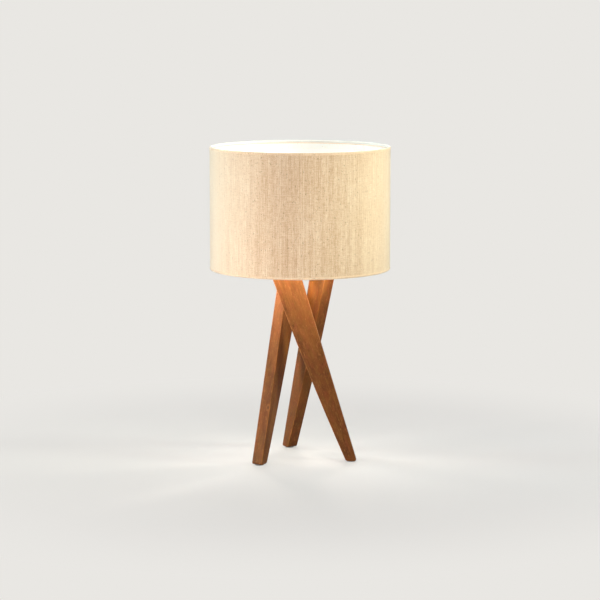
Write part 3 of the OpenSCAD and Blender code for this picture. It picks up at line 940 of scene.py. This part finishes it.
dress(make_threaded_tube(), "base", "tube_brass", "threaded_tube", BRASS)
dress(make_holder_cap(), "base", "holder_plastic", "holder_cap", WHITE_PLASTIC)
dress(make_holder_skirt(), "base", "holder_plastic", "holder_skirt", WHITE_PLASTIC)
dress(make_shell(), "base", "shell_metal", "holder_shell", SHELL_METAL)
dress(make_grip_ring("shade_seat_ring_moulded", seat_ring_z, seat_collar_h, True),
      "base", "holder_plastic", "shade_seat_ring", WHITE_PLASTIC)
dress(make_grip_ring("shade_clamp_ring_moulded", clamp_ring_z, clamp_collar_h, False),
      "clamp_ring", "holder_plastic", "shade_clamp_ring", WHITE_PLASTIC)
finish_nodes(BRASS, "tube_nuts", "holder_terminals", "holder_contact")
finish_nodes(ZINC, "tube_washers", "holder_grub_screw")
finish_nodes(BLACK_PLASTIC, "cord_bush")
finish_nodes(CERAMIC, "holder_insert")

# ---- shade

CLOTH_COLUMNS = 360
CLOTH_ROWS = 48
CLOTH_T = 0.35
# How far the cloth and the film stand inside the outer faces of their thicker solids.
SHEET_INSET = 0.45
# The seam at the back.
SEAM_DEG = 90.0
SEAM_LAP = 12.0
SEAM_RISE = 0.45
# Slight waviness: its depth, and its cells round the shade and per millimetre up it.
WAVE_DEPTH = 0.12
WAVE_CELLS = (3, 0.02)


def round_noise(angle, z, cells):
    """Smooth noise, from -1 to 1, on a drum round the axis."""
    around, up = cells
    return noise.noise(Vector((cos(angle) * around, sin(angle) * around, z * up)))


def make_cloth_wall():
    """The outer cloth: one strip wrapped round the shade and lapped over itself at the back."""
    lap_deg = degrees(SEAM_LAP / shade_r)
    total = 360 + lap_deg
    rise_from = total - 2 * lap_deg
    verts, faces, uvs = [], [], []
    for depth in (0, CLOTH_T):
        for j in range(CLOTH_COLUMNS + 1):
            deg = total * j / CLOTH_COLUMNS
            lift = clamp((deg - rise_from) / lap_deg)
            lift = lift * lift * (3 - 2 * lift)
            a = radians(SEAM_DEG + deg - lap_deg / 2)
            for i in range(CLOTH_ROWS + 1):
                z = wall_bottom_z + (wall_top_z - wall_bottom_z) * i / CLOTH_ROWS
                calm_edge = clamp(min(i, CLOTH_ROWS - i) / CLOTH_ROWS * 6)
                wave = round_noise(a, z, WAVE_CELLS) * WAVE_DEPTH * calm_edge
                r = shade_r - SHEET_INSET + SEAM_RISE * lift + wave - depth
                verts.append((r * cos(a), r * sin(a), z))
                uvs.append((radians(deg) * shade_r * MM, z * MM))
    rows = CLOTH_ROWS + 1
    inside = (CLOTH_COLUMNS + 1) * rows
    for j in range(CLOTH_COLUMNS):
        for a in range(j * rows, j * rows + CLOTH_ROWS):
            b = a + rows
            faces.append((a, b, b + 1, a + 1))
            faces.append((inside + a, inside + a + 1, inside + b + 1, inside + b))
    for j in range(CLOTH_COLUMNS):
        for a in (j * rows, j * rows + CLOTH_ROWS):
            b = a + rows
            faces.append((a, b, inside + b, inside + a))
    for j in (0, CLOTH_COLUMNS):
        for a in range(j * rows, j * rows + CLOTH_ROWS):
            faces.append((a, a + 1, inside + a + 1, inside + a))
    obj = make_object("shade_cloth", verts, faces, sharp_deg=50)
    layer = obj.data.uv_layers.new(name="UVMap")
    for loop in obj.data.loops:
        layer.data[loop.index].uv = uvs[loop.vertex_index]
    return obj


HEM_TURNS = 360
ROLL_STEPS = 28
# The rolled cloth's two ends as shares of a half turn from outwards, and its inner face's radius.
ROLL_FROM = -0.28
ROLL_TO = 0.80
HEM_INNER_R = 1.62
# The flap's two faces: how far inside the lining, and where each leaves the roll.
FLAP_IN = 0.5
FLAP_OUT = 0.05
FLAP_IN_FROM = 3.2
FLAP_OUT_FROM = 2.9
# Puckers in the flap, out and up, and their cells.
PUCKER_R = 0.12
PUCKER_Z = 0.25
PUCKER_CELLS = (22, 0.12)


def hem_section(z, inward):
    """The cloth round the ring wire at height z, with its flap; inward is +1 up or -1 down."""
    outer, inner = [], []
    for k in range(ROLL_STEPS + 1):
        share = ROLL_FROM + (ROLL_TO - ROLL_FROM) * k / ROLL_STEPS
        out, away = cos(pi * share), -inward * sin(pi * share)
        outer.append((hem_ring_r + hem_r * out, z + hem_r * away))
        inner.append((hem_ring_r + HEM_INNER_R * out, z + HEM_INNER_R * away))
    flap_end = z + inward * (hem_r + hem_flap_h - 1)
    flap = [
        (hem_flap_r - FLAP_IN - 0.1, z + inward * FLAP_IN_FROM), (hem_flap_r - FLAP_IN, flap_end),
        (hem_flap_r - FLAP_OUT, flap_end), (hem_flap_r - FLAP_OUT, z + inward * FLAP_OUT_FROM),
    ]
    return refine(outer + flap + inner[::-1], 1.6)


def make_hem(name, z, inward):
    """One hem; its flap is puckered, and the flap and the roll's inner half take the second
    material, the cloth painted near white by the bulb's light.
    """
    def pucker(r, height, angle):
        push = round_noise(angle, height, PUCKER_CELLS) * clamp((hem_ring_r + 0.5 - r) / 1.5)
        return r + PUCKER_R * push, height + PUCKER_Z * push

    section = hem_section(z, inward)
    obj = turned(name, section, HEM_TURNS, change=pucker, sharp_deg=50)
    unwrap_turned(obj, section, HEM_TURNS)
    flap_side = z + inward * (hem_r + 0.2)
    for face in obj.data.polygons:
        past_roll = (face.center.z / MM - flap_side) * inward > 0
        if past_roll or face.center.xy.length / MM < hem_ring_r - 0.3:
            face.material_index = 1
    return obj


def make_liner():
    """The stiff film that the cloth is glued to."""
    outer_r = liner_outer_r - SHEET_INSET
    section = [(outer_r, liner_bottom_z), (outer_r, liner_top_z),
               (liner_inner_r, liner_top_z), (liner_inner_r, liner_bottom_z)]
    return turned("shade_lining", refine(section, 12), 256, sharp_deg=50)


def make_centre_ring():
    """The flat ring that the arms end in, with its edges broken."""
    low, high = centre_ring_z, centre_ring_z + centre_ring_t
    corners = [(centre_ring_hole_r, low, 0.5), (centre_ring_r, low, 0.5),
               (centre_ring_r, high, 0.5), (centre_ring_hole_r, high, 0.5)]
    return turned("shade_centre_ring_pressed", round_corners(corners, 3), 128)


# The beads at an arm's two ends: name, radius, height, and half sizes out, round and up.
WELDS = (
    ("weld_in", centre_ring_r + 0.4, centre_ring_z + 0.4, (1.6, 3.2, 1.3)),
    ("weld_out", hem_ring_r - 2.0, hem_bottom_z + 1.0, (1.4, 2.8, 1.4)),
)


def make_weld(name, radius, z, size, turn_deg):
    """A small uneven bead of weld where an arm meets a ring."""
    bm = bmesh.new()
    bmesh.ops.create_icosphere(bm, subdivisions=3, radius=1.0)
    turn = Matrix.Rotation(radians(turn_deg), 3, "Z")
    for v in bm.verts:
        uneven = v.co * (1 + noise.noise(v.co * 1.7 + Vector((radius, turn_deg, 0))) * 0.16)
        bead = Vector([along * half for along, half in zip(uneven, size)])
        v.co = turn @ (bead + Vector((radius, 0, z))) * MM
    return object_from(bm, name)


def make_welds():
    """The beads at both ends of the three arms, as one piece."""
    return joined("shade_arm_welds", [
        make_weld(f"{end}_{k}", radius, z, size, arm_turn + 120 * k)
        for end, radius, z, size in WELDS for k in range(3)
    ])


cloth_wall = dress(make_cloth_wall(), "shade", "shade_fabric", "shade_fabric", SHADE_CLOTH)
hem_top = dress(make_hem("shade_hem_top_rolled", hem_top_z, -1),
                "shade", "hem_fabric", "shade_hem_top", HEM_CLOTH, LIT_FLAP_CLOTH)
hem_bottom = dress(make_hem("shade_hem_bottom_rolled", hem_bottom_z, 1),
                   "shade", "hem_fabric", "shade_hem_bottom", HEM_CLOTH, LIT_FLAP_CLOTH)
dress(make_liner(), "shade", "liner_plastic", "shade_liner", LINER)
dress(make_centre_ring(), "shade", "wire_white", "shade_centre_ring", WIRE_PAINT)
dress(make_welds(), "shade", "wire_white", None, WIRE_PAINT)
finish_nodes(WIRE_PAINT, "shade_wire_top", "shade_wire_bottom", "shade_arms")

# ---- bulb

BULB_NECK_STEPS = 40
BULB_DOME_STEPS = 32


def make_bulb_cap():
    """The screw cap: thin sheet with a rolled thread and a rim that holds the glass."""
    low, high = cap_shell_z, cap_shell_top_z
    thread_low, thread_high = low + cap_cone_h, high - 3.6
    sheet_r = cap_minor_r - cap_shell_t
    corners = [
        (insulator_top_r, low, 0), (cap_minor_r, thread_low, 0.7), (cap_minor_r, high - 4, 0.7),
        (cap_major_r, high - 3, 0.7), (cap_major_r, high, 0),
    ]
    section = refine(round_corners(corners, closed=False), bulb_pitch / 12, closed=False)
    section += [(sheet_r, high), (sheet_r, thread_low + 0.3), (insulator_top_r - 0.4, low + 0.2)]

    def roll(r, z, angle):
        if r <= sheet_r or not thread_low <= z <= thread_high:
            return r, z
        rise = thread(z, angle, bulb_pitch, thread_low + 0.1, thread_high - 0.2, 1.6)
        return r + (cap_major_r - cap_minor_r) * rise, z

    return turned("bulb_cap_rolled", section, change=roll, sharp_deg=60)


def glass_points(shrink):
    """Half the bulb's outline from its neck to its top, moved inwards by shrink."""
    points = [(neck_r - shrink, neck_z), (neck_r - shrink, throat_z - 0.3)]
    for k in range(BULB_NECK_STEPS + 1):
        share = k / BULB_NECK_STEPS
        swell = (1 - cos(pi * share)) / 2
        points.append((throat_r - shrink + (bulb_r - throat_r) * swell,
                       throat_z + (globe_z - throat_z) * share))
    for k in range(1, BULB_DOME_STEPS + 1):
        a = pi / 2 * k / BULB_DOME_STEPS
        reach = bulb_r - shrink
        points.append((max(0.0, reach * cos(a)), globe_z + reach * sin(a)))
    return points


def make_bulb_glass():
    """The clear glass, a thin wall that is open at its neck."""
    section = glass_points(0) + glass_points(bulb_glass_t)[::-1]
    obj = turned("bulb_glass_blown", section, sharp_deg=80)
    merge_points(obj)
    return obj


def make_bulb_stem():
    """The glass stem that carries the lit sticks, flared where it meets the neck."""
    corners = [
        (0.0, neck_z + 1, 0), (stem_flare_r, neck_z + 1, 0.3), (stem_flare_r, neck_z + 2, 0.3),
        (6.0, neck_z + 5, 3), (stem_r + 0.8, neck_z + 9, 4), (stem_r, neck_z + 14, 4),
        (stem_r, stem_top_z - 4, 2), (stem_r + 0.8, stem_top_z - 2, 1.2),
        (stem_r - 1, stem_top_z, 0.8), (0.0, stem_top_z, 0),
    ]
    section = round_corners(corners, closed=False)
    return turned("bulb_stem_drawn", section, 48, closed=False, sharp_deg=60)


def make_stick(k):
    """One lit stick with rounded ends, which leans in towards the dome."""
    bm = bmesh.new()
    bmesh.ops.create_uvsphere(bm, u_segments=16, v_segments=12, radius=filament_d / 2)
    for v in bm.verts:
        v.co.z += filament_d / 2 if v.co.z < 0 else filament_l - filament_d / 2
    turn = Matrix.Rotation(radians(360 * k / filament_count), 4, "Z")
    lean = Matrix.Rotation(radians(-filament_tilt), 4, "Y")
    place = turn @ Matrix.Translation((filament_r, 0, filament_z)) @ lean
    bmesh.ops.transform(bm, matrix=Matrix.Scale(MM, 4) @ place, verts=bm.verts)
    return object_from(bm, f"stick_{k}")


dress(make_bulb_cap(), "bulb", "shell_metal", "bulb_screw_cap", SHELL_METAL)
bulb_glass = dress(make_bulb_glass(), "bulb", "bulb_glass", "bulb_glass", CLEAR)
bulb_stem = dress(make_bulb_stem(), "bulb", "bulb_glass", "bulb_stem", CLEAR)
bulb_glass.visible_shadow = False
bulb_stem.visible_shadow = False
dress(joined("bulb_filament_sticks", [make_stick(k) for k in range(filament_count)]),
      "bulb", "filament", "bulb_filaments", STICK)
finish_nodes(BLACK_GLASS, "bulb_insulator")
finish_nodes(SOLDER, "bulb_tip")
finish_nodes(ZINC, "bulb_leads")

# ---- floor and light

BACKDROP = srgb(233, 231, 227)
FLOOR_R = 30.0
FLOOR_TONES = ((0.3, srgb(226, 224, 220)), (0.7, srgb(230, 228, 224)))
FLOOR_BOUNCE = srgb(158, 156, 152)
FLOOR_FILL = 0.34
# Where the floor starts to run into the backdrop, and where it is all backdrop, in metres.
FLOOR_FADE = (0.25, 0.80)
# The backdrop's strength as a light; what is seen of it has strength 1.
AMBIENT = 0.24


def seen_directly(tree):
    """1 for rays from the camera and for what metal mirrors or glass lets through."""
    rays = add_node(tree, "LightPath").outputs
    seen = rays["Is Camera Ray"]
    for ray in ("Is Glossy Ray", "Is Transmission Ray"):
        both = add_node(tree, "Math", {0: seen, 1: rays[ray]}, operation="MAXIMUM")
        seen = both.outputs[0]
    return seen


def floor_paint():
    """Pale paint, lifted with a little white, that turns into the backdrop further out."""
    s = Shader("pale_floor", BACKDROP, 0.9, Specular_IOR_Level=0.1)
    coords = s.object_coords()
    pale = s.ramp(s.noise(coords, 3.0, 3), FLOOR_TONES)
    bounced = s.node("LightPath").outputs["Is Diffuse Ray"]
    s.link(s.mix(pale, FLOOR_BOUNCE, bounced), "Base Color")
    seen = seen_directly(s.tree)
    fill = s.math("MULTIPLY", seen, FLOOR_FILL)
    far = s.math("MULTIPLY", seen, s.ranged(s.length(coords), *FLOOR_FADE, curve="SMOOTHSTEP"))
    surface = s.body.outputs["BSDF"]
    for share, colour in ((fill, srgb(255, 255, 255)), (far, BACKDROP)):
        plain = s.node("Emission", {"Color": colour, "Strength": 1.0}).outputs[0]
        surface = s.node("MixShader", {0: share, 1: surface, 2: plain}).outputs[0]
    s.tree.links.new(surface, s.tree.nodes["Material Output"].inputs["Surface"])
    return s


def make_floor():
    """A pale floor that takes the lamp's shadow."""
    bm = bmesh.new()
    bmesh.ops.create_circle(bm, cap_ends=True, segments=128, radius=FLOOR_R)
    floor = object_from(bm, "studio_floor")
    floor.data.materials.append(floor_paint().mat)


def make_world():
    """The backdrop all round."""
    world = bpy.data.worlds.new("studio")
    bpy.context.scene.world = world
    world.use_nodes = True
    tree = world.node_tree
    level = add_node(tree, "MapRange", {
        "Value": seen_directly(tree), "To Min": AMBIENT, "To Max": 1.0,
    })
    back = tree.nodes["Background"]
    back.inputs["Color"].default_value = BACKDROP
    tree.links.new(level.outputs["Result"], back.inputs["Strength"])


WHITE = (1, 1, 1)
SHADE_MIDDLE = (0, 0, 0.48)
# Name, place, aim, size, watts, colour, and spread in degrees.
SOFT_BOXES = (
    ("front_box", (-0.4, -2.4, 1.6), (0, 0, 0.3), (1.6, 1.4), 17.8, (1, 0.98, 0.95), 180),
    ("overhead", (0.2, 0.3, 3.0), (0, 0, 0), (2.0, 2.0), 15, WHITE, 180),
    ("back_box", (0.8, 2.6, 1.3), (0, 0, 0.3), (1.6, 1.4), 14, WHITE, 180),
    ("back_fill", (-0.3, 2.8, 1.2), (0, 0, 0.4), (1.6, 1.4), 22, WHITE, 180),
    ("left_low", (-1.5, -1.2, 0.12), (0, 0, 0.1), (0.5, 0.2), 3.4, WHITE, 60),
    ("left_strip", (-1.6, 0.1, 1.0), SHADE_MIDDLE, (0.5, 0.5), 0.70, (0.66, 0.94, 1.0), 30),
    ("right_strip", (1.6, -0.35, 0.85), (0, 0, 0.44), (0.5, 0.5), 1.42, (0.90, 0.99, 0.86), 30),
    ("right_back", (1.5, 0.6, 1.0), SHADE_MIDDLE, (0.4, 0.5), 0.12, (1, 0.84, 0.4), 30),
)
# Name, place, watts, colour and size.
BULB_LIGHTS = (
    ("bulb_light", (0, 0, globe_z * MM), 0.07, (0.90, 0.98, 1.0), 0.02),
    ("core_glow", (-0.006, -0.006, 0.300), 0.114, (1.0, 0.92, 0.55), 0.006),
)
# Light that the shade's lower edge throws on the legs: direction and watts.
RIM_GLOWS = ((60, 0.22), (120, 0.22), (180, 0.115), (225, 0.09), (270, 0.03), (315, 0.08))
RIM_LIGHT_R = 0.098
RIM_LIGHT_Z = 0.334
RIM_LIGHT_SIZE = (0.016, 0.016)
RIM_AIM = (0, 0, 0.262)
RIM_COLOUR = (1.0, 0.90, 0.80)


def soft_box(name, place, aim, size, watts, colour, spread):
    """A flat light that looks from its place at a point."""
    data = bpy.data.lights.new(name, "AREA")
    data.shape = "RECTANGLE"
    data.size, data.size_y = size
    data.energy = watts
    data.color = colour
    data.spread = radians(spread)
    lamp = add_object(name, data)
    lamp.visible_camera = False
    lamp.location = place
    lamp.rotation_euler = (Vector(aim) - Vector(place)).to_track_quat("-Z", "Y").to_euler()


def round_light(name, place, watts, colour, size):
    """A small light all round that no mirror or glass shows."""
    data = bpy.data.lights.new(name, "POINT")
    data.energy = watts
    data.color = colour
    data.shadow_soft_size = size
    lamp = add_object(name, data)
    lamp.visible_camera = False
    lamp.visible_glossy = False
    lamp.visible_transmission = False
    lamp.location = place


def rim_glow(azimuth, watts):
    """Light from the shade's lower edge, on one side."""
    a = radians(azimuth)
    place = (RIM_LIGHT_R * cos(a), RIM_LIGHT_R * sin(a), RIM_LIGHT_Z)
    soft_box(f"rim_glow_{azimuth}", place, RIM_AIM, RIM_LIGHT_SIZE, watts, RIM_COLOUR, 130)


make_floor()
make_world()
for box in SOFT_BOXES:
    soft_box(*box)
for light in BULB_LIGHTS:
    round_light(*light)
for glow in RIM_GLOWS:
    rim_glow(*glow)
bpy.context.scene.view_settings.view_transform = "Standard"
